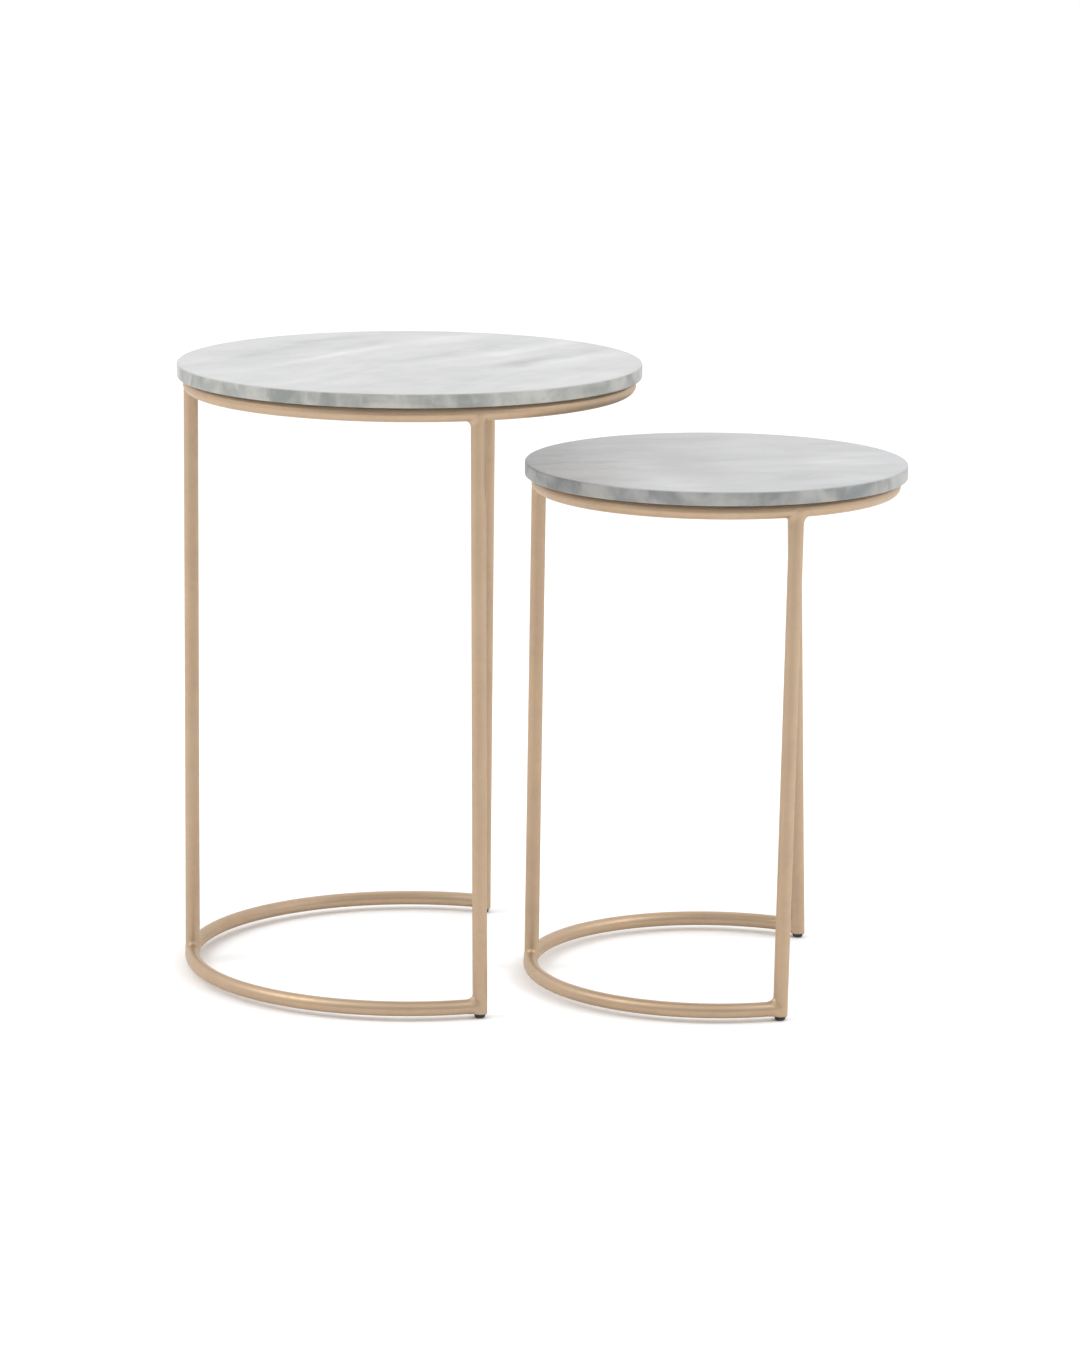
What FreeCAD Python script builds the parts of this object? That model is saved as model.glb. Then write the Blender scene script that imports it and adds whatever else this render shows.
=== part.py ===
"""Two nesting side tables: round marble tops on welded round-tube frames, the small one drawn part way out.

Millimetres, +Z up. The origin lies on the floor under the middle of the set's bounding box. +X runs from the
large table towards the open side, where the small table slides out, and -Y is the front.
"""
import FreeCAD
import Part

import math
import os
from dataclasses import dataclass

Vector = FreeCAD.Vector
UP = Vector(0, 0, 1)
DOWN = Vector(0, 0, -1)

# Frame tube
TUBE_DIAMETER = 12.7
TUBE_WALL = 1.2
TUBE_RADIUS = TUBE_DIAMETER / 2
BORE_RADIUS = TUBE_RADIUS - TUBE_WALL
COPE_DEPTH = 3.5            # how far a coped tube end stops short of the other tube's centre line
VENT_DIAMETER = 5.0         # lets hot gas out of the closed tubes while they are welded and coated

# Welds
BEAD_RADIUS = 8.8           # the bead's widest radius round the joining tube
BEAD_REACH = 9.6            # from the crossing of the centre lines to the bead's toe
BEAD_TOE = 0.35             # how thick the bead still is at its toe
BEAD_PROUD = 0.6            # how far a bead stands out past the sides of the tubes
BEAD_GROUND = 0.3           # base beads are ground off this far above the frame's lowest face
TAB_BEAD_RADIUS = 2.2
TAB_BEAD_LENGTH = 14.0

# Feet
GLIDE_HEIGHT = 4.0          # floor to the lowest face of the frame
NOSE_DIAMETER = 9.2
NOSE_EDGE = 1.6             # radius that rounds the nose off towards the floor
FLANGE_DIAMETER = 11.6      # bears on the tube's end
FLANGE_THICKNESS = 0.8
PLUG_LENGTH = 14.0
STEM_DIAMETER = 4.0         # stem of the button glide that clips into the base arc
STEM_LENGTH = 4.5           # from the arc's underside to the stem's tip
BARB_DIAMETER = 4.8
BARB_RISE = 2.4             # from the arc's underside to the barb's catching edge

# Marble tops and how they are held
MARBLE_THICKNESS = 12.0
TOP_ARRIS = 1.4             # radius that eases the upper edge
BOTTOM_ARRIS = 1.0
PAD_THICKNESS = 0.5         # clear pads between the frame and the stone
RING_PAD_DIAMETER = 7.0
RING_PAD_ANGLES = (0, 60, 120, 240, 300)
TAB_PAD_DIAMETER = 14.0
TAB_ANGLES = (45, 135, 225, 315)
TAB_LENGTH = 26.0           # from the ring's centre line inward
TAB_LAP = 3.2               # from the ring's centre line to where the tab's upper edge starts
TAB_WIDTH = 18.0
TAB_THICKNESS = 3.0
TAB_CORNER = 5.0
TAB_HOLE_DIAMETER = 5.5
SCREW_SETBACK = 16.5        # from the ring's centre line inward to the screw
SCREW_DIAMETER = 5.0
SCREW_LENGTH = 12.0
HEAD_DIAMETER = 9.5
HEAD_HEIGHT = 2.75
HEAD_DOME = 1.6
SOCKET_ACROSS_FLATS = 3.0
SOCKET_DEPTH = 1.6
WASHER_DIAMETER = 10.0
WASHER_BORE = 5.3
WASHER_THICKNESS = 1.5
INSERT_DIAMETER = 8.0
INSERT_BORE = 5.1
INSERT_LENGTH = 7.5
INSERT_GROOVE_DEPTH = 0.4
INSERT_GROOVE_WIDTH = 1.0
INSERT_HOLE_DEPTH = 8.0

# The small table's axis, seen from the large table's axis, as the set stands
DRAWN_OUT = 267.5
DRAWN_FORWARD = 34.6


@dataclass(frozen=True)
class Table:
    """One table. Radii go to tube centre lines; angles count from +X about the table's own axis."""
    name: str
    centre_x: float
    centre_y: float
    top_diameter: float
    height: float
    ring_radius: float
    base_radius: float
    ring_turn: float        # how far the ring's joints sit turned from the nominal leg angles
    base_turn: float        # the same for the base arc, so the legs lean by the difference
    leg_spread: float       # from +X to the front leg and to the rear leg


LARGE_TOP = 406.0
SMALL_TOP = 333.0
SET_SHIFT = (DRAWN_OUT + SMALL_TOP / 2 - LARGE_TOP / 2) / 2     # puts the origin mid-way along the set

LARGE = Table(
    name="large", centre_x=-SET_SHIFT, centre_y=0.0, top_diameter=LARGE_TOP, height=542.0,
    ring_radius=191.5, base_radius=193.5, ring_turn=-0.7, base_turn=0.2, leg_spread=70.3,
)
SMALL = Table(
    name="small", centre_x=DRAWN_OUT - SET_SHIFT, centre_y=-DRAWN_FORWARD, top_diameter=SMALL_TOP,
    height=461.0, ring_radius=154.2, base_radius=158.7, ring_turn=-2.4, base_turn=-5.9, leg_spread=63.4,
)

ARC_LEVEL = GLIDE_HEIGHT + TUBE_RADIUS      # height of the base arc's centre line
SIDES = ("left", "front", "rear")


# Levels and places

def marble_underside(table):
    return table.height - MARBLE_THICKNESS


def ring_top(table):
    return marble_underside(table) - PAD_THICKNESS


def ring_level(table):
    """Height of the top ring's centre line."""
    return ring_top(table) - TUBE_RADIUS


def polar(table, radius, angle, level):
    turn = math.radians(angle)
    return Vector(table.centre_x + radius * math.cos(turn), table.centre_y + radius * math.sin(turn), level)


def on_axis(table, level):
    return Vector(table.centre_x, table.centre_y, level)


def leg_angle(table, side):
    return {"left": 180.0, "front": -table.leg_spread, "rear": table.leg_spread}[side]


def leg_top(table, side):
    """Where a leg's centre line meets the top ring's."""
    return polar(table, table.ring_radius, leg_angle(table, side) + table.ring_turn, ring_level(table))


def leg_foot(table, side):
    """Where a leg's centre line meets the base arc's."""
    return polar(table, table.base_radius, leg_angle(table, side) + table.base_turn, ARC_LEVEL)


def leg_direction(table, side):
    return (leg_top(table, side) - leg_foot(table, side)).normalize()


def tab_place(table, angle, setback, level):
    return polar(table, table.ring_radius - setback, angle + table.ring_turn, level)


def rims(shape):
    """A shape's circular edges, lowest first."""
    circles = [edge for edge in shape.Edges if isinstance(edge.Curve, Part.Circle)]
    return sorted(circles, key=lambda edge: edge.Curve.Center.z)


# Solid bars that tubes, copes and beads are cut from

def ring_bar(table, radius):
    return Part.makeTorus(table.ring_radius, radius, on_axis(table, ring_level(table)), UP)


def arc_bar(table, radius):
    """The C of the base, stopped just short of the front and rear legs' centre lines."""
    gap = table.leg_spread + math.degrees(COPE_DEPTH / table.base_radius)
    bar = Part.makeTorus(table.base_radius, radius, on_axis(table, ARC_LEVEL), UP, -180, 180, 360 - 2 * gap)
    bar.rotate(on_axis(table, 0), UP, gap + table.base_turn)
    return bar


def leg_bar(table, side, radius):
    """A bar along a leg's centre line, cut level at the leg's two ends."""
    along = leg_direction(table, side)
    overrun = 2 * ARC_LEVEL
    length = (leg_top(table, side) - leg_foot(table, side)).Length + 2 * overrun
    bar = Part.makeCylinder(radius, length, leg_foot(table, side) - along * overrun, along)
    low = ARC_LEVEL + COPE_DEPTH if side == "left" else GLIDE_HEIGHT
    high = ring_level(table) - COPE_DEPTH
    slab = Part.makeCylinder(table.top_diameter, high - low, on_axis(table, low), UP)
    return bar.common(slab)


# Frame

def main_solid(shape):
    """The largest solid of a cut, without the slivers that two nearly tangent tubes leave beside it."""
    return max(shape.Solids, key=lambda solid: solid.Volume)


def top_ring(table):
    ring = ring_bar(table, TUBE_RADIUS).cut(ring_bar(table, BORE_RADIUS))
    for side in SIDES:
        vent = Part.makeCylinder(VENT_DIAMETER / 2, TUBE_DIAMETER, leg_top(table, side), DOWN)
        ring = ring.cut(vent)
    return ring


def base_arc(table):
    arc = arc_bar(table, TUBE_RADIUS).cut(arc_bar(table, BORE_RADIUS))
    for side in ("front", "rear"):
        arc = arc.cut(leg_bar(table, side, TUBE_RADIUS))
    foot = leg_foot(table, "left")
    vent = Part.makeCylinder(VENT_DIAMETER / 2, TUBE_DIAMETER, foot, UP)
    stem_hole = Part.makeCylinder(STEM_DIAMETER / 2, TUBE_DIAMETER, foot, DOWN)
    return main_solid(arc.cut(vent).cut(stem_hole))


def leg(table, side):
    tube = leg_bar(table, side, TUBE_RADIUS).cut(leg_bar(table, side, BORE_RADIUS))
    tube = tube.cut(ring_bar(table, TUBE_RADIUS))
    if side == "left":
        tube = tube.cut(arc_bar(table, TUBE_RADIUS))
    return tube


def fillet_bead(table, path_radius, joint, direction, through_bar, joining_bar):
    """A weld bead: a collar round the joining tube, kept near the tubes' common plane and trimmed to both."""
    start = joint + direction * COPE_DEPTH
    collar = Part.makeCone(BEAD_RADIUS, TUBE_RADIUS + BEAD_TOE, BEAD_REACH - COPE_DEPTH, start, direction)
    half_band = TUBE_RADIUS + BEAD_PROUD
    floor_point = on_axis(table, 0)
    band = Part.makeCylinder(path_radius + half_band, table.height, floor_point, UP)
    band = band.cut(Part.makeCylinder(path_radius - half_band, table.height, floor_point, UP))
    return collar.common(band).cut(through_bar).cut(joining_bar)


def ring_welds(table):
    ring_tube = ring_bar(table, TUBE_RADIUS)
    beads = []
    for side in SIDES:
        joint, down_leg = leg_top(table, side), leg_direction(table, side) * -1
        leg_tube = leg_bar(table, side, TUBE_RADIUS)
        beads.append(fillet_bead(table, table.ring_radius, joint, down_leg, ring_tube, leg_tube))
    return beads


def base_welds(table):
    arc_tube = arc_bar(table, TUBE_RADIUS)
    left_tube = leg_bar(table, "left", TUBE_RADIUS)
    foot, up_leg = leg_foot(table, "left"), leg_direction(table, "left")
    beads = [fillet_bead(table, table.base_radius, foot, up_leg, arc_tube, left_tube)]
    lowest = on_axis(table, GLIDE_HEIGHT + BEAD_GROUND)
    kept_room = Part.makeCylinder(table.top_diameter, TUBE_DIAMETER + BEAD_RADIUS, lowest, UP)
    for side, round_arc in (("front", -1), ("rear", 1)):
        foot = leg_foot(table, side)
        outward = (foot - on_axis(table, ARC_LEVEL)).normalize()
        along_arc = UP.cross(outward) * round_arc
        leg_tube = leg_bar(table, side, TUBE_RADIUS)
        bead = fillet_bead(table, table.base_radius, foot, along_arc, leg_tube, arc_tube)
        beads.append(bead.common(kept_room))
    return beads


def tab_blank(table, angle):
    """A flat steel tab whose upper face is level with the crown of the ring."""
    low = ring_top(table) - TAB_THICKNESS
    length = TAB_LENGTH - TAB_LAP
    corner = Vector(table.centre_x + table.ring_radius - TAB_LENGTH, table.centre_y - TAB_WIDTH / 2, low)
    blank = Part.makeBox(length, TAB_WIDTH, TAB_THICKNESS, corner)
    inner_edges = [edge for edge in blank.Edges if is_upright_at(edge, corner.x)]
    blank = blank.makeFillet(TAB_CORNER, inner_edges)
    blank.rotate(on_axis(table, 0), UP, angle + table.ring_turn)
    return blank


def is_upright_at(edge, x):
    first, last = edge.Vertexes[0].Point, edge.Vertexes[-1].Point
    return abs(first.x - x) < 0.01 and abs(last.x - x) < 0.01 and abs(first.z - last.z) > 0.01


def mounting_tabs(table):
    tabs = []
    for angle in TAB_ANGLES:
        hole_start = tab_place(table, angle, SCREW_SETBACK, ring_top(table) - 2 * TAB_THICKNESS)
        hole = Part.makeCylinder(TAB_HOLE_DIAMETER / 2, 4 * TAB_THICKNESS, hole_start, UP)
        tabs.append(tab_blank(table, angle).cut(hole).cut(ring_bar(table, TUBE_RADIUS)))
    return tabs


def tab_welds(table):
    """A short bead under each tab, in the corner between the tab and the ring."""
    drop = TUBE_RADIUS - TAB_THICKNESS
    corner_setback = math.sqrt(TUBE_RADIUS ** 2 - drop ** 2)
    beads = []
    for angle in TAB_ANGLES:
        middle = tab_place(table, angle, corner_setback, ring_top(table) - TAB_THICKNESS)
        turn = math.radians(angle + table.ring_turn)
        along = Vector(-math.sin(turn), math.cos(turn), 0)
        end = middle - along * (TAB_BEAD_LENGTH / 2)
        rod = Part.makeCylinder(TAB_BEAD_RADIUS, TAB_BEAD_LENGTH, end, along)
        beads.append(rod.cut(tab_blank(table, angle)).cut(ring_bar(table, TUBE_RADIUS)))
    return beads


# Stone top and its fixings

def marble_top(table):
    underside = on_axis(table, marble_underside(table))
    disc = Part.makeCylinder(table.top_diameter / 2, MARBLE_THICKNESS, underside, UP)
    disc = disc.makeFillet(TOP_ARRIS, [rims(disc)[-1]])
    disc = disc.makeFillet(BOTTOM_ARRIS, [rims(disc)[0]])
    for angle in TAB_ANGLES:
        mouth = tab_place(table, angle, SCREW_SETBACK, marble_underside(table))
        disc = disc.cut(Part.makeCylinder(INSERT_DIAMETER / 2, INSERT_HOLE_DEPTH, mouth, UP))
    return disc


def threaded_inserts(table):
    inserts = []
    for angle in TAB_ANGLES:
        mouth = tab_place(table, angle, SCREW_SETBACK, marble_underside(table))
        body = Part.makeCylinder(INSERT_DIAMETER / 2, INSERT_LENGTH, mouth, UP)
        groove_floor = mouth + UP * (INSERT_LENGTH / 2 - INSERT_GROOVE_WIDTH / 2)
        groove = Part.makeCylinder(INSERT_DIAMETER, INSERT_GROOVE_WIDTH, groove_floor, UP)
        core_radius = INSERT_DIAMETER / 2 - INSERT_GROOVE_DEPTH
        groove = groove.cut(Part.makeCylinder(core_radius, INSERT_GROOVE_WIDTH, groove_floor, UP))
        bore = Part.makeCylinder(INSERT_BORE / 2, INSERT_LENGTH, mouth, UP)
        inserts.append(body.cut(groove).cut(bore))
    return inserts


def tab_screws(table):
    """Button-head screws that come up through the tabs, with a hexagon socket below."""
    seat_level = ring_top(table) - TAB_THICKNESS - WASHER_THICKNESS
    screws = []
    for angle in TAB_ANGLES:
        seat = tab_place(table, angle, SCREW_SETBACK, seat_level)
        shank = Part.makeCylinder(SCREW_DIAMETER / 2, SCREW_LENGTH, seat, UP)
        head = Part.makeCylinder(HEAD_DIAMETER / 2, HEAD_HEIGHT, seat, DOWN)
        head = head.makeFillet(HEAD_DOME, [rims(head)[0]])
        socket = hexagon(seat + DOWN * HEAD_HEIGHT, SOCKET_ACROSS_FLATS).extrude(UP * SOCKET_DEPTH)
        screws.append(head.cut(socket).fuse(shank).removeSplitter())
    return screws


def hexagon(centre, across_flats):
    corner_radius = across_flats / math.sqrt(3)
    corners = []
    for step in range(7):
        turn = math.radians(60 * step)
        corners.append(centre + Vector(corner_radius * math.cos(turn), corner_radius * math.sin(turn), 0))
    return Part.Face(Part.makePolygon(corners))


def lock_washers(table):
    level = ring_top(table) - TAB_THICKNESS - WASHER_THICKNESS
    return screw_rings(table, level, WASHER_DIAMETER, WASHER_THICKNESS)


def tab_pads(table):
    return screw_rings(table, ring_top(table), TAB_PAD_DIAMETER, PAD_THICKNESS)


def screw_rings(table, level, outer_diameter, thickness):
    """A flat ring round every screw."""
    rings = []
    for angle in TAB_ANGLES:
        centre = tab_place(table, angle, SCREW_SETBACK, level)
        disc = Part.makeCylinder(outer_diameter / 2, thickness, centre, UP)
        rings.append(disc.cut(Part.makeCylinder(WASHER_BORE / 2, thickness, centre, UP)))
    return rings


def ring_pads(table):
    """Soft clear discs that bed down over the crown of the ring."""
    sink = 1.0
    pads = []
    for angle in RING_PAD_ANGLES:
        start = tab_place(table, angle, 0.0, ring_top(table) - sink)
        disc = Part.makeCylinder(RING_PAD_DIAMETER / 2, sink + PAD_THICKNESS, start, UP)
        pads.append(disc.cut(ring_bar(table, TUBE_RADIUS)))
    return pads


# Feet

def glide_nose(x, y, height):
    """The rounded part of a glide that stands on the floor."""
    nose = Part.makeCylinder(NOSE_DIAMETER / 2, height, Vector(x, y, 0), UP)
    return nose.makeFillet(NOSE_EDGE, [rims(nose)[0]])


def leg_glides(table):
    """Nylon plugs pressed up the front and rear legs, with thin flanges that bear on the tubes' ends."""
    glides = []
    for side in ("front", "rear"):
        foot = leg_foot(table, side)
        along = leg_direction(table, side)
        end = foot - along * ((ARC_LEVEL - GLIDE_HEIGHT) / along.z)
        plug = Part.makeCylinder(BORE_RADIUS, PLUG_LENGTH, end, along)
        flange = Part.makeCylinder(FLANGE_DIAMETER / 2, FLANGE_THICKNESS, end, DOWN)
        glides.append(plug.fuse(flange).fuse(glide_nose(end.x, end.y, GLIDE_HEIGHT)).removeSplitter())
    return glides


def arc_glide(table):
    """A button glide clipped into the base arc from below, under the left leg."""
    foot = leg_foot(table, "left")
    underside = Vector(foot.x, foot.y, GLIDE_HEIGHT)
    button = glide_nose(foot.x, foot.y, GLIDE_HEIGHT + TUBE_WALL).cut(arc_bar(table, TUBE_RADIUS))
    stem = Part.makeCylinder(STEM_DIAMETER / 2, TUBE_WALL + STEM_LENGTH, underside + DOWN * TUBE_WALL, UP)
    barb_height = STEM_LENGTH - BARB_RISE
    barb = Part.makeCone(BARB_DIAMETER / 2, STEM_DIAMETER / 2, barb_height, underside + UP * BARB_RISE, UP)
    return button.fuse(stem).fuse(barb).removeSplitter()


def table_nodes(table):
    """Every node of one table: a single solid, or a list of like solids."""
    nodes = {"marble_top": marble_top(table), "top_ring": top_ring(table), "base_arc": base_arc(table)}
    for side in SIDES:
        nodes[side + "_leg"] = leg(table, side)
    for builder in (ring_welds, base_welds, mounting_tabs, tab_welds, threaded_inserts, tab_screws,
                    lock_washers, tab_pads, ring_pads, leg_glides, arc_glide):
        nodes[builder.__name__] = builder(table)
    return nodes


def export(name, piece):
    shape = Part.makeCompound(piece) if isinstance(piece, list) else piece
    if not shape.isValid():
        raise ValueError(name + " is not a valid shape")
    shape.exportStep(os.path.join("parts", name + ".step"))


def main():
    os.makedirs("parts", exist_ok=True)
    for table in (LARGE, SMALL):
        for piece_name, piece in table_nodes(table).items():
            export(table.name + "_" + piece_name, piece)


main()
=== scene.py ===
"""Two nesting side tables with round marble tops on champagne tube frames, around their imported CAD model.

Metres, in the CAD model's frame: +Z up, -Y the front, +X from the large table to the small one.
"""

import math
import random

import bmesh
import bpy
from mathutils import Matrix, Vector


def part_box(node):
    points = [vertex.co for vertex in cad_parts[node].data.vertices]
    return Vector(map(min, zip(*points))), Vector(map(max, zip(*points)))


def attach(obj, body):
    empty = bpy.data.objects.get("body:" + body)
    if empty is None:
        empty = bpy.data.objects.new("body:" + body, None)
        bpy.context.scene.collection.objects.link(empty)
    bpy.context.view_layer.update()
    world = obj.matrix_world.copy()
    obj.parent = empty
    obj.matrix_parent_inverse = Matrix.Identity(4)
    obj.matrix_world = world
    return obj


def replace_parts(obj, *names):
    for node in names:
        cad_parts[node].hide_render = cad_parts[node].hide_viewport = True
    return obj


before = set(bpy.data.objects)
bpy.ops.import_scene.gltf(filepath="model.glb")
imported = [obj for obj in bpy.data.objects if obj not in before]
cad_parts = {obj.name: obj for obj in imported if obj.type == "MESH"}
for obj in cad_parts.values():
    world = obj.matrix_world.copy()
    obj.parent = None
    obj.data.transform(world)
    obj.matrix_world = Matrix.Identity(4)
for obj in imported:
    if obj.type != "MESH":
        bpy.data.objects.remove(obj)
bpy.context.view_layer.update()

MM = 0.001
UP = Vector((0, 0, 1))

# Camera
CAMERA_PLACE = (0.0, -4.164, 1.1145)
CAMERA_PITCH = 11.556           # degrees down from level
CAMERA_ROLL = 0.394             # degrees
LENS_MM = 128.14
SENSOR_MM = 36.0
CAMERA_REACH = 200.0            # beyond the floor's far edge

# Light
FRONT_GLOW = 0.30
BACK_GLOW = 1.05
ZENITH_GLOW = 1.15
KEY_TARGET = (0.0, 0.0, 0.3)
KEY_SIDE = 3.0                  # the soft boxes stand this far left and right of the middle
KEY_FRONT = -0.8
KEY_HEIGHT = 3.2
KEY_SIZE = 2.4
KEY_POWER = 46.0                # each
BACKDROP = 1.0                  # what the camera sees past the floor, whatever the room's glow
FLOOR_RADIUS = 60.0

# Marble slab
TOP_ARRIS = 1.4 * MM
BOTTOM_ARRIS = 1.0 * MM
RIM_STEPS = 900
HOLE_STEPS = 40
HOLE_DEPTH = 8.0 * MM
ARRIS_STEPS = 6
CHIPS = 26
CHIP_HALF_TURNS = (0.004, 0.012)    # half of a chip's width, in radians round the slab
CHIP_DEPTHS = (0.12 * MM, 0.42 * MM)    # least and most
CHIP_HEIGHT = 0.14              # of the slab's thickness

# Bedding of the marble
WIDE_SWAY = 16.0 * MM           # how far the beds waver to each side, in long waves
TIGHT_SWAY = 4.0 * MM           # and in short ones
SEAM_FALLOFF = 0.7              # how fast a seam weakens across its width
FADE_INSIDE = 30.0 * MM         # a seam starts to fade this far before its end
FADE_OUTSIDE = 20.0 * MM        # and is gone this far past it

# Weld beads
BEAD_REACH = 4.8 * MM           # from the tubes' crossing line to the bead's toe on the through tube
BEAD_CLIMB = 1.4                # the bead reaches this many times as far up the joining tube
BEAD_SIDE_REACH = 1.3 * MM      # the reach on the sides, where the tubes run tangent
BEAD_CREST = 3.2 * MM           # how much further it climbs on those sides, over the coped tube's flat end
BEAD_PROUD = 0.55 * MM          # how far the section's middle is pulled out from the tubes' crossing line
BEAD_THINNING = 0.35            # the share of that lost where the tubes meet square
BEAD_SINK = 0.06 * MM           # the toes and the root lie this deep in the tubes, so no gap shows
BEAD_AROUND = 144
BEAD_ACROSS = 10
WIDE_WOBBLE = 0.07              # the reach's unevenness, as shares of it
TIGHT_WOBBLE = 0.05
RIPPLES = 26                    # round each bead
RIPPLE_HEIGHT = 0.09 * MM
LEG_END = 12.0 * MM             # how much of a leg's length is taken as its end


# Shader node helpers

class Shader:
    """A new material, with short calls for the nodes it is built from."""

    def __init__(self, name):
        self.material = bpy.data.materials.new(name)
        self.material.use_nodes = True
        self.tree = self.material.node_tree
        self.bsdf = self.tree.nodes["Principled BSDF"]
        coords = self.tree.nodes.new("ShaderNodeTexCoord")
        self.place = coords.outputs["Object"]

    def node(self, kind, inputs=(), **settings):
        made = self.tree.nodes.new("ShaderNode" + kind)
        for key, value in settings.items():
            setattr(made, key, value)
        for key, value in dict(inputs).items():
            self.feed(made.inputs[key], value)
        return made

    def feed(self, socket, value):
        if isinstance(value, bpy.types.NodeSocket):
            self.tree.links.new(value, socket)
        else:
            socket.default_value = value

    def shade(self, **inputs):
        """Sets the main shader's sockets; an underscore in a name stands for a space."""
        for key, value in inputs.items():
            self.feed(self.bsdf.inputs[key.replace("_", " ")], value)

    def math(self, operation, a, b=0.0):
        return self.node("Math", {0: a, 1: b}, operation=operation).outputs[0]

    def noise(self, place, scale, detail=4.0, roughness=0.55, distortion=0.0):
        inputs = {"Vector": place, "Scale": scale, "Detail": detail, "Roughness": roughness,
                  "Distortion": distortion}
        return self.node("TexNoise", inputs).outputs["Fac"]

    def stretched(self, place, scale, turn=0.0, shift=(0.0, 0.0, 0.0)):
        """place, moved by shift, turned about +Z by turn degrees and scaled along each axis."""
        moved = self.node("VectorMath", {0: place, 1: shift}, operation="SUBTRACT").outputs[0]
        spin = self.node("VectorRotate", {"Vector": moved, "Angle": math.radians(-turn)}).outputs[0]
        return self.node("VectorMath", {0: spin, 1: scale}, operation="MULTIPLY").outputs[0]

    def remap(self, value, low, high, to_low=0.0, to_high=1.0, smooth=True):
        kind = "SMOOTHSTEP" if smooth else "LINEAR"
        inputs = {"Value": value, "From Min": low, "From Max": high, "To Min": to_low, "To Max": to_high}
        return self.node("MapRange", inputs, interpolation_type=kind).outputs["Result"]

    def mix(self, share, a, b, blend="MIX"):
        made = self.node("Mix", data_type="RGBA", blend_type=blend)
        self.feed(made.inputs["Factor"], share)
        self.feed(made.inputs[6], a)
        self.feed(made.inputs[7], b)
        return made.outputs[2]

    def bump(self, height, distance, under=None):
        inputs = {"Height": height, "Distance": distance}
        if under is not None:
            inputs["Normal"] = under
        return self.node("Bump", inputs).outputs["Normal"]


def rgb(red, green, blue):
    return (red, green, blue, 1.0)


# Materials

def frame_finish():
    """Satin champagne coating on steel tube: warm, faintly mottled, with a fine orange peel."""
    s = Shader("champagne_finish")
    mottle = s.noise(s.place, 26.0, 3.0)
    cloud = s.noise(s.stretched(s.place, (9.0, 9.0, 4.0), shift=(0.3, 0.1, 0.0)), 1.0, 2.0)
    warm = s.mix(s.remap(mottle, 0.35, 0.65), rgb(0.475, 0.346, 0.233), rgb(0.510, 0.368, 0.244))
    colour = s.mix(s.remap(cloud, 0.4, 0.62, 0.0, 0.55), warm, rgb(0.500, 0.376, 0.264))
    flake = s.noise(s.place, 5200.0, 1.0)
    colour = s.mix(s.remap(flake, 0.62, 0.78, 0.0, 0.35), colour, rgb(0.70, 0.59, 0.46))
    rub = s.remap(s.noise(s.place, 160.0, 6.0, 0.7), 0.42, 0.7, 0.43, 0.53)
    peel = s.bump(s.noise(s.place, 900.0, 2.0), 0.03 * MM)
    fine = s.bump(s.noise(s.place, 4200.0, 2.0), 0.006 * MM, under=peel)
    s.shade(Base_Color=colour, Metallic=0.8, Roughness=rub, Normal=fine)
    return s.material


class Seam:
    """A soft band in the stone, along its bedding: all lengths in metres from the slab's middle.

    A strength above 0 makes the stone paler there, and below 0 greyer.
    """

    def __init__(self, across, half_width, start, end, strength):
        self.across, self.half_width = across, half_width
        self.start, self.end, self.strength = start, end, strength


class Stone:
    """How one slab's marble looks: which way its bedding runs, its seams and its colours. Its rim colours are
    darker than the top's, as painted shade.

    turn is the bedding's direction in degrees from +X. seed moves the wavering of the beds, and edge_seed the
    blotches round the rim.
    """

    def __init__(self, table, turn, seed, edge_seed, seams, pale, deep, edge_pale, edge_deep_with_painted_shade, tint):
        low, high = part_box(table + "_marble_top")
        self.centre = tuple((low + high) / 2)
        self.turn, self.seams = turn, seams
        self.seed, self.edge_seed = seed, edge_seed
        self.pale, self.deep, self.tint = pale, deep, tint
        self.edge_pale, self.edge_deep_with_painted_shade = edge_pale, edge_deep_with_painted_shade


def bedding(s, stone):
    """Coordinates in the slab: X along the bedding, Y across it, wavered as the beds are."""
    flat = s.stretched(s.place, (1.0, 1.0, 1.0), stone.turn, stone.centre)
    wide = s.noise(s.stretched(flat, (5.0, 11.0, 4.0), shift=(stone.seed, 0, 0)), 1.0, 2.0)
    tight = s.noise(s.stretched(flat, (26.0, 60.0, 30.0), shift=(0, stone.seed, 0)), 1.0, 3.0)
    wide = s.remap(wide, 0.2, 0.8, -WIDE_SWAY, WIDE_SWAY, False)
    tight = s.remap(tight, 0.2, 0.8, -TIGHT_SWAY, TIGHT_SWAY, False)
    sway = s.math("ADD", wide, tight)
    push = s.node("CombineXYZ", {"Y": sway}).outputs[0]
    return s.node("VectorMath", {0: flat, 1: push}, operation="ADD").outputs[0]


def seam_tone(s, beds, seam):
    """The band's strength where it lies, fading out across it and at its two ends."""
    split = s.node("SeparateXYZ", {"Vector": beds})
    away = s.math("DIVIDE", s.math("SUBTRACT", split.outputs["Y"], seam.across), seam.half_width)
    across = s.math("EXPONENT", s.math("MULTIPLY", s.math("MULTIPLY", away, away), -SEAM_FALLOFF))
    begins = s.remap(split.outputs["X"], seam.start - FADE_OUTSIDE, seam.start + FADE_INSIDE)
    ends = s.remap(split.outputs["X"], seam.end - FADE_INSIDE, seam.end + FADE_OUTSIDE, 1.0, 0.0)
    along = s.math("MULTIPLY", begins, ends)
    return s.math("MULTIPLY", s.math("MULTIPLY", across, along), seam.strength)


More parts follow.
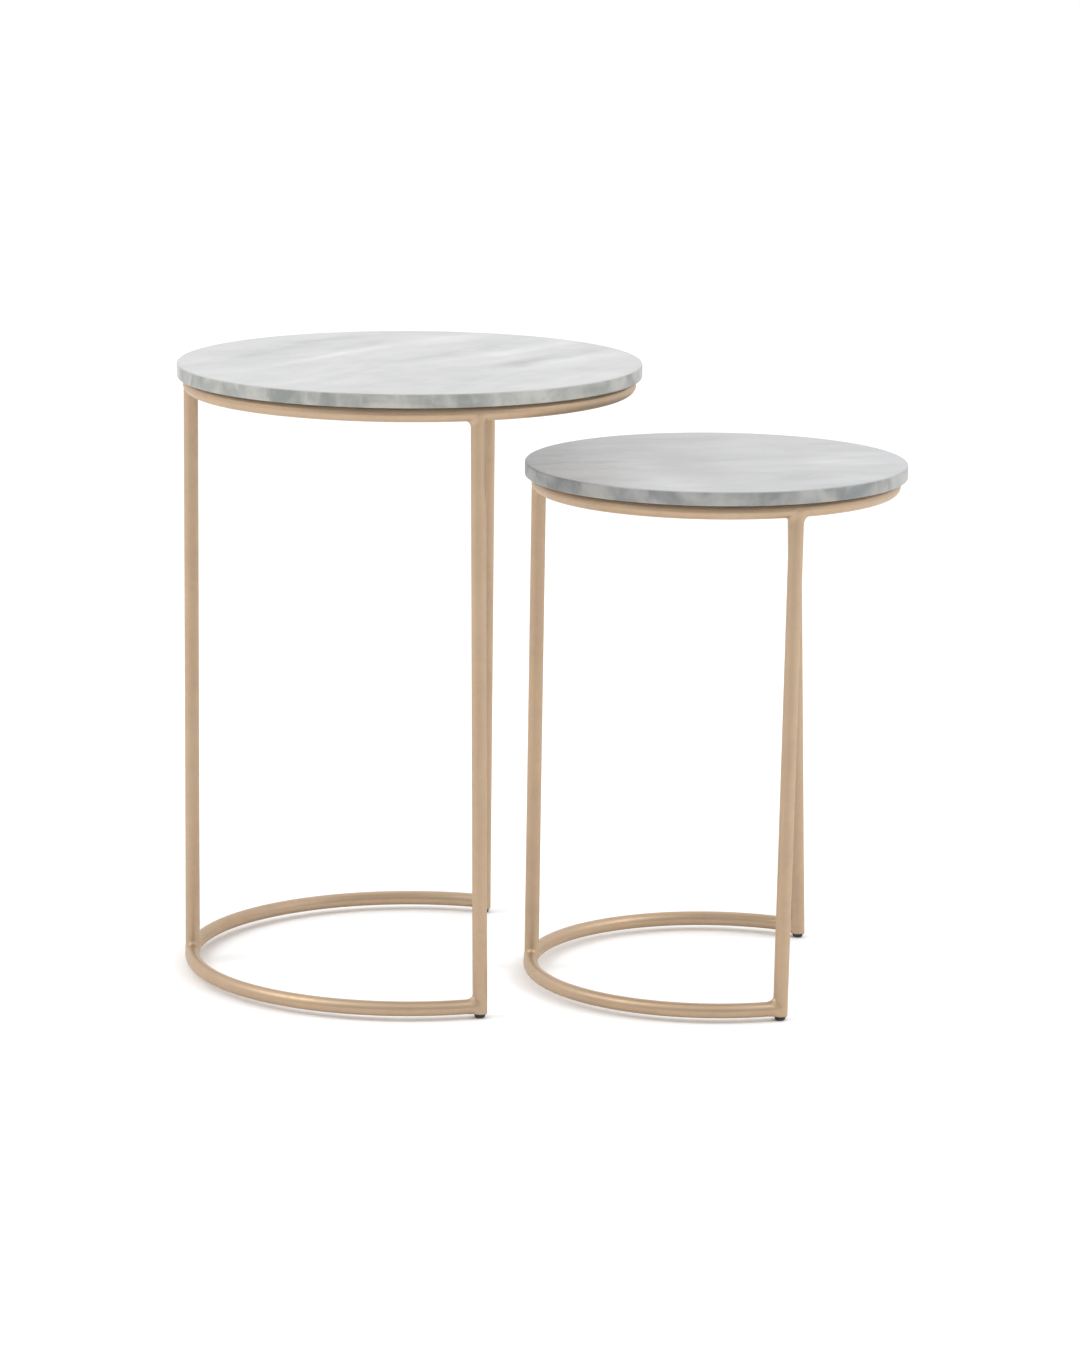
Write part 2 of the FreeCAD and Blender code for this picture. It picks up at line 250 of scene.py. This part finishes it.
def stone_tone(s, stone, beds):
    """About 0 where the stone is deepest and 1 where it is palest."""
    broad = s.noise(s.stretched(beds, (3.0, 17.0, 8.0)), 1.0, 2.0, 0.5)
    streak = s.noise(s.stretched(beds, (9.0, 62.0, 24.0)), 1.0, 4.0, 0.5)
    cloud = s.noise(s.stretched(beds, (16.0, 20.0, 14.0)), 1.0, 4.0, 0.55)
    tone = s.remap(broad, 0.25, 0.75, -0.34, 0.34, False)
    tone = s.math("ADD", tone, s.remap(streak, 0.25, 0.75, -0.20, 0.20, False))
    tone = s.math("ADD", tone, s.remap(cloud, 0.25, 0.75, -0.40, 0.40, False))
    patches = s.noise(s.stretched(beds, (28.0, 60.0, 24.0)), 1.0, 3.0, 0.6)
    patchy = s.remap(patches, 0.3, 0.7, 0.55, 1.35, False)
    for seam in stone.seams:
        tone = s.math("ADD", tone, s.math("MULTIPLY", seam_tone(s, beds, seam), patchy))
    return s.remap(tone, -1.5, 1.5, 0.0, 1.0, False)


def edge_tone(s, stone, beds):
    """The cut edge shows every bed end-on, so its blotches are short, upright and strong."""
    shift = (stone.edge_seed, 0.0, 0.0)
    blotch = s.noise(s.stretched(beds, (17.0, 24.0, 26.0), shift=shift), 1.0, 3.0, 0.55, 0.6)
    thin = s.noise(s.stretched(beds, (52.0, 78.0, 40.0), shift=shift), 1.0, 4.0, 0.6, 0.8)
    both = s.math("ADD", s.math("MULTIPLY", blotch, 0.72), s.math("MULTIPLY", thin, 0.28))
    return s.remap(both, 0.37, 0.63)


def marble(name, stone):
    """Grey-white marble: soft seams, hair veins and a fine grain, polished on top and honed round the edge; the
    edge's darker colours are painted shade.
    """
    s = Shader(name)
    beds = bedding(s, stone)
    face = s.mix(stone_tone(s, stone, beds), stone.deep, stone.pale)
    cool = s.noise(s.stretched(beds, (9.0, 30.0, 20.0)), 1.0, 3.0)
    face = s.mix(s.remap(cool, 0.5, 0.7, 0.0, 0.5), face, stone.tint)
    hair = s.noise(s.stretched(beds, (20.0, 380.0, 60.0)), 1.0, 3.0, 0.7)
    face = s.mix(s.remap(hair, 0.56, 0.74, 0.0, 0.20), face, stone.deep)
    # The rim's blotches are the stone's own; its darker colours are painted shade for the upright faces.
    edge = s.mix(edge_tone(s, stone, beds), stone.edge_deep_with_painted_shade, stone.edge_pale)
    normal = s.node("NewGeometry").outputs["Normal"]
    facing_up = s.remap(s.node("SeparateXYZ", {"Vector": normal}).outputs["Z"], 0.25, 0.85)
    colour = s.mix(facing_up, edge, face)
    grain = s.noise(s.place, 2600.0, 3.0, 0.7)
    colour = s.mix(s.remap(grain, 0.25, 0.75, 0.0, 0.04), colour, rgb(0.30, 0.31, 0.31), "MULTIPLY")
    fine = s.noise(s.place, 900.0, 3.0)
    rough = s.math("ADD", s.remap(fine, 0.3, 0.7, 0.0, 0.02), s.remap(facing_up, 0.0, 1.0, 0.42, 0.25))
    s.shade(Base_Color=colour, Roughness=rough, Normal=s.bump(grain, 0.0015 * MM), IOR=1.5)
    return s.material


def sawn_stone(name, stone):
    """The unpolished underside: paler dust in the pores and the saw's marks."""
    s = Shader(name)
    colour = s.mix(stone_tone(s, stone, bedding(s, stone)), stone.deep, stone.pale)
    dust = s.noise(s.place, 700.0, 5.0, 0.75)
    colour = s.mix(s.remap(dust, 0.5, 0.8, 0.0, 0.5), colour, rgb(0.62, 0.61, 0.58))
    saw = s.node("TexWave", {"Vector": s.stretched(s.place, (1.0, 1.0, 1.0), 8.0), "Scale": 190.0,
                             "Distortion": 2.2, "Detail": 3.0, "Detail Scale": 0.4}).outputs["Fac"]
    height = s.math("ADD", s.math("MULTIPLY", saw, 0.6), dust)
    s.shade(Base_Color=colour, Roughness=0.82, Normal=s.bump(height, 0.06 * MM), IOR=1.5)
    return s.material


def large_stone():
    """Pale grey; the bedding runs from front left to back right, with six grey seams and four white ones."""
    seams = [Seam(-0.012, 0.012, -0.015, 0.195, -0.85), Seam(-0.086, 0.011, 0.005, 0.190, -0.85),
             Seam(-0.101, 0.010, -0.085, -0.040, -0.60), Seam(0.076, 0.0065, -0.085, 0.080, 0.85),
             Seam(0.062, 0.012, 0.070, 0.180, 0.60), Seam(0.097, 0.009, 0.020, 0.110, -0.68),
             Seam(0.140, 0.017, -0.080, 0.120, -0.72), Seam(-0.110, 0.009, 0.020, 0.140, 0.51),
             Seam(-0.040, 0.009, 0.060, 0.200, 0.55), Seam(0.110, 0.014, -0.110, -0.035, -0.50)]
    # The third and fourth colours are the rim's, darkened as painted shade.
    return Stone("large", 57.0, 3.1, 0.71, seams, rgb(0.60, 0.60, 0.595), rgb(0.255, 0.26, 0.265),
                 rgb(0.485, 0.475, 0.445), rgb(0.25, 0.265, 0.25), rgb(0.44, 0.45, 0.455))


def small_stone():
    """A shade greyer; the bedding runs nearly from side to side, with four grey seams, four pale ones and a
    broad pale field at the left that is painted light.
    """
    seams = [Seam(0.005, 0.010, 0.110, 0.170, 1.0), Seam(-0.030, 0.008, 0.070, 0.140, 0.85),
             Seam(-0.050, 0.007, 0.090, 0.155, 0.75), Seam(-0.107, 0.012, 0.000, 0.070, -0.80),
             Seam(0.060, 0.012, 0.110, 0.155, -0.65), Seam(0.132, 0.012, -0.010, 0.065, -0.55),
             Seam(0.075, 0.030, -0.060, 0.070, 0.40), Seam(-0.050, 0.014, -0.080, -0.020, -0.40),
             # This broad pale field at the left is painted light, set against the shadow that the large slab
             # casts there.
             Seam(0.010, 0.110, -0.230, -0.050, 1.30)]
    # The third and fourth colours are the rim's, darkened as painted shade.
    return Stone("small", 18.0, 8.4, 0.0, seams, rgb(0.485, 0.485, 0.49), rgb(0.23, 0.235, 0.24),
                 rgb(0.39, 0.385, 0.37), rgb(0.20, 0.215, 0.215), rgb(0.37, 0.38, 0.40))


def metal(name, base, tarnish, roughness):
    s = Shader(name)
    cloud = s.noise(s.place, 240.0, 5.0, 0.65)
    colour = s.mix(s.remap(cloud, 0.4, 0.7), base, tarnish)
    turned = s.noise(s.stretched(s.place, (60.0, 60.0, 9000.0)), 1.0, 3.0)
    rough = s.remap(cloud, 0.3, 0.7, roughness, roughness + 0.14)
    s.shade(Base_Color=colour, Metallic=1.0, Roughness=rough, Normal=s.bump(turned, 0.008 * MM))
    return s.material


def nylon():
    """Dark moulded nylon, scuffed paler where it meets the floor."""
    s = Shader("dark_nylon")
    height = s.node("SeparateXYZ", {"Vector": s.place}).outputs["Z"]
    scuff = s.math("MULTIPLY", s.remap(height, 0.0, 0.0016, 1.0, 0.0),
                   s.remap(s.noise(s.place, 900.0, 4.0, 0.7), 0.4, 0.65))
    colour = s.mix(scuff, rgb(0.030, 0.027, 0.024), rgb(0.11, 0.10, 0.09))
    grain = s.noise(s.place, 3800.0, 3.0)
    s.shade(Base_Color=colour, Roughness=s.remap(grain, 0.3, 0.7, 0.42, 0.58),
            Normal=s.bump(grain, 0.01 * MM))
    return s.material


def clear_pad():
    """Clear silicone, slightly cloudy."""
    s = Shader("clear_silicone")
    cloud = s.noise(s.place, 800.0, 4.0)
    colour = s.mix(s.remap(cloud, 0.35, 0.7), rgb(0.86, 0.87, 0.86), rgb(0.72, 0.73, 0.71))
    s.shade(Base_Color=colour, Roughness=s.remap(cloud, 0.3, 0.7, 0.22, 0.38), Transmission_Weight=0.75,
            IOR=1.41, Normal=s.bump(cloud, 0.01 * MM))
    return s.material


def floor_finish():
    s = Shader("pale_floor")
    grain = s.noise(s.place, 60.0, 3.0)
    s.shade(Base_Color=s.mix(grain, rgb(0.955, 0.955, 0.955), rgb(0.975, 0.975, 0.975)), Roughness=0.9,
            Specular_IOR_Level=0.1)
    return s.material


# Meshes

def finish_mesh(name, bm, body, slot, *materials):
    """Makes a smooth-shaded piece of bm, which rides on body and holds the given materials; slot is not used.
    """
    mesh = bpy.data.meshes.new(name)
    bm.to_mesh(mesh)
    bm.free()
    for material in materials:
        mesh.materials.append(material)
    mesh.polygons.foreach_set("use_smooth", [True] * len(mesh.polygons))
    piece = bpy.data.objects.new(name, mesh)
    bpy.context.scene.collection.objects.link(piece)
    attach(piece, body)
    return piece


def dress(node, material):
    """Gives a CAD node one material."""
    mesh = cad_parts[node].data
    mesh.materials.clear()
    mesh.materials.append(material)


def ring_of(bm, centre, radius, level, steps):
    """A level circle of new points round centre."""
    ring = []
    for i in range(steps):
        turn = 2 * math.pi / steps * i
        x, y = radius * math.cos(turn), radius * math.sin(turn)
        ring.append(bm.verts.new((centre.x + x, centre.y + y, level)))
    return ring


def bridge(bm, lower, upper):
    """Faces between two rings of as many points."""
    for i in range(len(lower)):
        j = (i + 1) % len(lower)
        bm.faces.new((lower[i], lower[j], upper[j], upper[i]))


# Marble slabs

def arris(centre_radius, centre_level, radius, start):
    """Profile points (radius, level) round a quarter circle from start degrees."""
    points = []
    for i in range(ARRIS_STEPS + 1):
        turn = math.radians(start + 90 * i / ARRIS_STEPS)
        points.append((centre_radius + radius * math.cos(turn), centre_level + radius * math.sin(turn)))
    return points


def slab_profile(radius, low, high):
    lower = arris(radius - BOTTOM_ARRIS, low + BOTTOM_ARRIS, BOTTOM_ARRIS, -90)
    upper = arris(radius - TOP_ARRIS, high - TOP_ARRIS, TOP_ARRIS, 0)
    side = [(radius, lower[-1][1] + (upper[0][1] - lower[-1][1]) * i / 4) for i in range(1, 4)]
    return lower + side + upper


def chip_marks(rng):
    """Small chips along the arrises: (angle, half-width as an angle, depth, whether on the upper arris)."""
    return [(rng.uniform(0, 2 * math.pi), rng.uniform(*CHIP_HALF_TURNS), rng.uniform(*CHIP_DEPTHS),
             rng.random() < 0.5) for _ in range(CHIPS)]


def chip_depth(chips, angle, share):
    """How far a rim point is knocked in: share runs from 0 at the underside to 1 at the top face."""
    depth = 0.0
    for middle, half_width, deepest, is_upper in chips:
        away = abs((angle - middle + math.pi) % (2 * math.pi) - math.pi) / half_width
        reach = max(0.0, 1 - abs(share - (1.0 if is_upper else 0.0)) / CHIP_HEIGHT)
        if away < 1 and reach > 0:
            depth = max(depth, deepest * (1 - away * away) * reach)
    return depth


def marble_slab(table, polished, sawn):
    node = table + "_marble_top"
    low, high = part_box(node)
    centre = (low + high) / 2
    radius = (high.x - low.x) / 2
    chips = chip_marks(random.Random(table))
    bm = bmesh.new()
    rings = []
    for r, level in slab_profile(radius, low.z, high.z):
        ring = ring_of(bm, centre, r, level, RIM_STEPS)
        share = (level - low.z) / (high.z - low.z)
        for i, vert in enumerate(ring):
            depth = chip_depth(chips, 2 * math.pi * i / RIM_STEPS, share)
            if depth:
                vert.co -= (vert.co - centre).normalized() * depth
        rings.append(ring)
    for lower, upper in zip(rings, rings[1:]):
        bridge(bm, lower, upper)
    bm.faces.new(rings[-1])
    underside(bm, table, rings[0], low.z)
    piece = finish_mesh(table + "_stone_top", bm, table + "_table", table + "_marble", polished, sawn)
    piece.modifiers.new("normals", "WEIGHTED_NORMAL").keep_sharp = True
    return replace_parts(piece, node)


def underside(bm, table, outer, level):
    """The flat underside, with the blind holes that the inserts fill."""
    edges = [bm.edges.get((outer[i], outer[(i + 1) % len(outer)])) for i in range(len(outer))]
    holes = []
    for middle, radius in insert_places(table):
        mouth = ring_of(bm, middle, radius, level, HOLE_STEPS)
        holes.append((middle, mouth, radius))
        edges += [bm.edges.new((mouth[i], mouth[(i + 1) % HOLE_STEPS])) for i in range(HOLE_STEPS)]
    filled = bmesh.ops.triangle_fill(bm, use_beauty=True, use_dissolve=False, edges=edges, normal=(0, 0, -1))
    faces = [item for item in filled["geom"] if isinstance(item, bmesh.types.BMFace)]
    for middle, mouth, radius in holes:
        roof = ring_of(bm, middle, radius, level + HOLE_DEPTH, HOLE_STEPS)
        bridge(bm, mouth[::-1], roof[::-1])
        faces.append(bm.faces.new(roof[::-1]))
    for face in faces:
        face.material_index = 1
    bmesh.ops.recalc_face_normals(bm, faces=bm.faces)


def clusters(node, count):
    """The solids of a node that holds like pieces: (middle, low, high) of each."""
    bm = bmesh.new()
    bm.from_mesh(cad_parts[node].data)
    bmesh.ops.remove_doubles(bm, verts=bm.verts, dist=1e-6)
    left, found = set(bm.verts), []
    while left:
        island, waiting = set(), [left.pop()]
        while waiting:
            vert = waiting.pop()
            island.add(vert)
            for edge in vert.link_edges:
                other = edge.other_vert(vert)
                if other in left:
                    left.discard(other)
                    waiting.append(other)
        low = Vector([min(v.co[k] for v in island) for k in range(3)])
        high = Vector([max(v.co[k] for v in island) for k in range(3)])
        found.append(((low + high) / 2, low, high))
    bm.free()
    if len(found) != count:
        raise ValueError("%s has %d pieces, not %d" % (node, len(found), count))
    return found


def insert_places(table):
    return [(middle, (high.x - low.x) / 2) for middle, low, high in clusters(table + "_threaded_inserts", 4)]


# Weld beads

class Ring:
    """A horizontal ring or arc of tube: centre, radius of its centre line, and tube radius."""

    def __init__(self, node):
        low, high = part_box(node)
        self.tube = (high.z - low.z) / 2
        self.radius = (high.y - low.y) / 2 - self.tube
        self.centre = Vector((low.x + self.tube + self.radius, (low.y + high.y) / 2, (low.z + high.z) / 2))

    def frame_at(self, angle):
        """Centre-line point, outward direction and tangent at an angle."""
        outward = Vector((math.cos(angle), math.sin(angle), 0))
        return self.centre + outward * self.radius, outward, UP.cross(outward)


def end_centre(node, is_top):
    """The middle of a leg tube's upper or lower end."""
    low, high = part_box(node)
    ends = [v.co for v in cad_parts[node].data.vertices
            if (v.co.z > high.z - LEG_END if is_top else v.co.z < low.z + LEG_END)]
    return Vector([(min(p[k] for p in ends) + max(p[k] for p in ends)) / 2 for k in range(3)])


def leg_line(table, side):
    """A point on a leg's centre line and its upward direction."""
    foot, top = (end_centre(table + "_" + side + "_leg", flag) for flag in (False, True))
    return foot, (top - foot).normalized()


def at_level(point, direction, level):
    return point + direction * ((level - point.z) / direction.z)


def bead(bm, rng, through, joining, lowest=None):
    """A rippled concave fillet round a joint of two equal tubes, closed by its root inside them.

    through(along, angle) and joining(along, angle) give a surface point of each tube, its normal and the tube's
    radius. Angle 0 of the joining tube faces along the through tube, and its 90 degrees faces the side of both.
    """
    phase = rng.uniform(0, 6)
    rows = [bead_section(bm, through, joining, i, phase) for i in range(BEAD_AROUND)]
    for a, b in zip(rows, rows[1:] + rows[:1]):
        for j in range(len(a)):
            k = (j + 1) % len(a)
            bm.faces.new((a[j], b[j], b[k], a[k]))
        for j in (0, BEAD_ACROSS):
            bm.edges.get((a[j], b[j])).smooth = False
    if lowest is not None:
        for vert in bm.verts:
            vert.co.z = max(vert.co.z, lowest)


def bead_reach(phi, flat, phase):
    """How far the bead spreads at an angle round the joining tube: unevenly, and least on the sides."""
    wobble = 1 + WIDE_WOBBLE * math.sin(3 * phi + phase) + TIGHT_WOBBLE * math.sin(7 * phi + 2 * phase)
    return (BEAD_SIDE_REACH + (BEAD_REACH - BEAD_SIDE_REACH) * flat ** 0.8) * wobble


def bead_section(bm, through, joining, index, phase):
    """A closed section: across the bead from the through tube to the joining tube, and back by the root."""
    phi = 2 * math.pi * index / BEAD_AROUND
    cosine, sine = math.cos(phi), math.sin(phi)
    flat = abs(cosine)
    tube = through(0, 0)[2]
    reach = bead_reach(phi, flat, phase)
    cross = math.asin(max(-1.0, min(1.0, sine)))
    toe_turn = cross + math.copysign(reach / tube * (1 - flat) ** 2, sine)
    toe, toe_normal, _ = through(tube * cosine + math.copysign(reach, cosine) * flat ** 0.5, toe_turn)
    corner, corner_normal, _ = through(tube * cosine, cross)
    climb = reach * BEAD_CLIMB + BEAD_CREST * (1 - flat) ** 2
    top, top_normal, _ = joining(tube * flat + climb, phi)
    _, side_normal, _ = joining(tube * flat, phi)
    proud = (corner_normal + side_normal).normalized()
    root = corner - proud * BEAD_SINK
    corner = corner + proud * BEAD_PROUD * (1.0 - BEAD_THINNING * flat)
    toe = toe - toe_normal * BEAD_SINK
    top = top - top_normal * BEAD_SINK
    return bead_row(bm, toe, corner, top, proud, index, phase) + [bm.verts.new(root)]


def bead_row(bm, toe, corner, top, proud, index, phase):
    """The section's visible side, rippled, from its toe on one tube to its toe on the other."""
    row = []
    for j in range(BEAD_ACROSS + 1):
        t = j / BEAD_ACROSS
        point = toe * (1 - t) ** 2 + corner * (2 * t * (1 - t)) + top * t ** 2
        swell = math.sin(math.pi * t)
        travel = index / BEAD_AROUND * RIPPLES + 0.45 * swell + 0.15 * math.sin(index * 0.31 + phase)
        ripple = (0.5 + 0.5 * math.cos(2 * math.pi * travel)) ** 1.5
        row.append(bm.verts.new(point + proud * (RIPPLE_HEIGHT * ripple * swell)))
    return row


def ring_tube(ring, angle, sign):
    """Surface of a ring near an angle; angle 0 of the section faces up (sign 1) or down (sign -1)."""
    def surface(along, turn):
        middle, outward, _ = ring.frame_at(angle + along / ring.radius)
        normal = outward * math.sin(turn) + UP * (sign * math.cos(turn))
        return middle + normal * ring.tube, normal, ring.tube
    return surface


def leg_tube(joint, direction, tangent, outward, tube):
    def surface(along, turn):
        normal = tangent * math.cos(turn) + outward * math.sin(turn)
        normal = (normal - direction * normal.dot(direction)).normalized()
        return joint + direction * along + normal * tube, normal, tube
    return surface


def upright_bead(bm, rng, ring, table, side, sign):
    """The bead where a leg meets the ring above it (sign -1) or the arc below it (sign 1)."""
    foot, upward = leg_line(table, side)
    joint = at_level(foot, upward, ring.centre.z)
    offset = joint - ring.centre
    angle = math.atan2(offset.y, offset.x)
    _, outward, tangent = ring.frame_at(angle)
    bead(bm, rng, ring_tube(ring, angle, sign),
         leg_tube(joint, upward * sign, tangent, outward, ring.tube))


def end_bead(bm, rng, arc, table, side, round_arc, lowest):
    """The bead where the base arc's end meets a leg. round_arc is the arc's direction away from the leg."""
    foot, upward = leg_line(table, side)
    joint = at_level(foot, upward, arc.centre.z)
    offset = joint - arc.centre
    angle = math.atan2(offset.y, offset.x)

    def leg_surface(along, turn):
        _, outward, tangent = arc.frame_at(angle)
        normal = outward * math.sin(turn) + tangent * (round_arc * math.cos(turn))
        return joint + upward * along + normal * arc.tube, normal, arc.tube

    def arc_surface(along, turn):
        middle, outward, _ = arc.frame_at(angle + round_arc * along / arc.radius)
        normal = UP * math.cos(turn) + outward * math.sin(turn)
        return middle + normal * arc.tube, normal, arc.tube

    bead(bm, rng, leg_surface, arc_surface, lowest)


def weld_beads(table, finish):
    rng = random.Random(table + "welds")
    ring, arc = Ring(table + "_top_ring"), Ring(table + "_base_arc")
    bm = bmesh.new()
    for side in ("left", "front", "rear"):
        upright_bead(bm, rng, ring, table, side, -1)
    bmesh.ops.recalc_face_normals(bm, faces=bm.faces)
    piece = finish_mesh(table + "_ring_beads", bm, table + "_table", "frame_finish", finish)
    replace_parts(piece, table + "_ring_welds")
    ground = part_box(table + "_base_welds")[0].z
    bm = bmesh.new()
    end_bead(bm, rng, arc, table, "front", -1, ground)
    end_bead(bm, rng, arc, table, "rear", 1, ground)
    upright_bead(bm, rng, arc, table, "left", 1)
    bmesh.ops.recalc_face_normals(bm, faces=bm.faces)
    piece = finish_mesh(table + "_base_beads", bm, table + "_table", "frame_finish", finish)
    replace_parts(piece, table + "_base_welds")


# Studio

def studio():
    """A pale backdrop glowing behind, a dim room in front, a bright ceiling, and a soft box on each side."""
    world = bpy.data.worlds.new("studio")
    bpy.context.scene.world = world
    world.use_nodes = True
    tree = world.node_tree
    background = tree.nodes["Background"]
    coords = tree.nodes.new("ShaderNodeTexCoord")
    split = tree.nodes.new("ShaderNodeSeparateXYZ")
    tree.links.new(coords.outputs["Generated"], split.inputs[0])
    around = glow_between(tree, split.outputs["Y"], -1.0, -0.2, FRONT_GLOW, BACK_GLOW)
    glow = glow_between(tree, split.outputs["Z"], 0.15, 0.95, around, ZENITH_GLOW)
    path = tree.nodes.new("ShaderNodeLightPath")
    seen = glow_between(tree, path.outputs["Is Camera Ray"], 0.0, 1.0, glow, BACKDROP)
    tree.links.new(seen, background.inputs["Strength"])
    background.inputs["Color"].default_value = rgb(1.0, 1.0, 1.0)
    for name, side in (("key_left", -KEY_SIDE), ("key_right", KEY_SIDE)):
        area_light(name, (side, KEY_FRONT, KEY_HEIGHT), KEY_TARGET, KEY_SIZE, KEY_POWER)


def glow_between(tree, value, low, high, at_low, at_high):
    """A brightness that runs smoothly from at_low to at_high as value goes from low to high."""
    ramp = tree.nodes.new("ShaderNodeMapRange")
    ramp.interpolation_type = "SMOOTHSTEP"
    tree.links.new(value, ramp.inputs["Value"])
    ramp.inputs["From Min"].default_value = low
    ramp.inputs["From Max"].default_value = high
    for name, level in (("To Min", at_low), ("To Max", at_high)):
        if isinstance(level, float):
            ramp.inputs[name].default_value = level
        else:
            tree.links.new(level, ramp.inputs[name])
    return ramp.outputs["Result"]


def area_light(name, place, target, size, power):
    light = bpy.data.lights.new(name, "AREA")
    light.shape = "DISK"
    light.size = size
    light.energy = power
    lamp = bpy.data.objects.new(name, light)
    lamp.location = place
    lamp.rotation_euler = (Vector(target) - Vector(place)).to_track_quat("-Z", "Y").to_euler()
    bpy.context.scene.collection.objects.link(lamp)


def floor():
    bm = bmesh.new()
    bmesh.ops.create_circle(bm, cap_ends=True, segments=96, radius=FLOOR_RADIUS)
    mesh = bpy.data.meshes.new("studio_floor")
    bm.to_mesh(mesh)
    bm.free()
    mesh.materials.append(floor_finish())
    plate = bpy.data.objects.new("studio_floor", mesh)
    bpy.context.scene.collection.objects.link(plate)


def camera():
    data = bpy.data.cameras.new("camera")
    data.lens = LENS_MM
    data.sensor_width = SENSOR_MM
    data.clip_end = CAMERA_REACH
    eye = bpy.data.objects.new("camera", data)
    tilt = Matrix.Rotation(math.radians(90 - CAMERA_PITCH), 4, "X") @ Matrix.Rotation(
        math.radians(CAMERA_ROLL), 4, "Z")
    eye.matrix_world = Matrix.Translation(CAMERA_PLACE) @ tilt
    bpy.context.scene.collection.objects.link(eye)
    bpy.context.scene.camera = eye


def dress_table(table, finish, brass, zinc, pad, dark):
    for name in ("top_ring", "base_arc", "left_leg", "front_leg", "rear_leg", "mounting_tabs", "tab_welds"):
        dress(table + "_" + name, finish)
    dress(table + "_threaded_inserts", brass)
    for name in ("tab_screws", "lock_washers"):
        dress(table + "_" + name, zinc)
    for name in ("tab_pads", "ring_pads"):
        dress(table + "_" + name, pad)
    for name in ("leg_glides", "arc_glide"):
        dress(table + "_" + name, dark)


def main():
    bpy.context.scene.view_settings.view_transform = "Standard"
    finish = frame_finish()
    brass = metal("brass", rgb(0.80, 0.58, 0.27), rgb(0.62, 0.43, 0.19), 0.28)
    zinc = metal("zinc_steel", rgb(0.63, 0.65, 0.67), rgb(0.50, 0.51, 0.50), 0.30)
    pad, dark = clear_pad(), nylon()
    for table, stone in (("large", large_stone()), ("small", small_stone())):
        marble_slab(table, marble(table + "_marble", stone), sawn_stone(table + "_marble_sawn", stone))
        weld_beads(table, finish)
        dress_table(table, finish, brass, zinc, pad, dark)
    floor()
    studio()
    camera()


main()
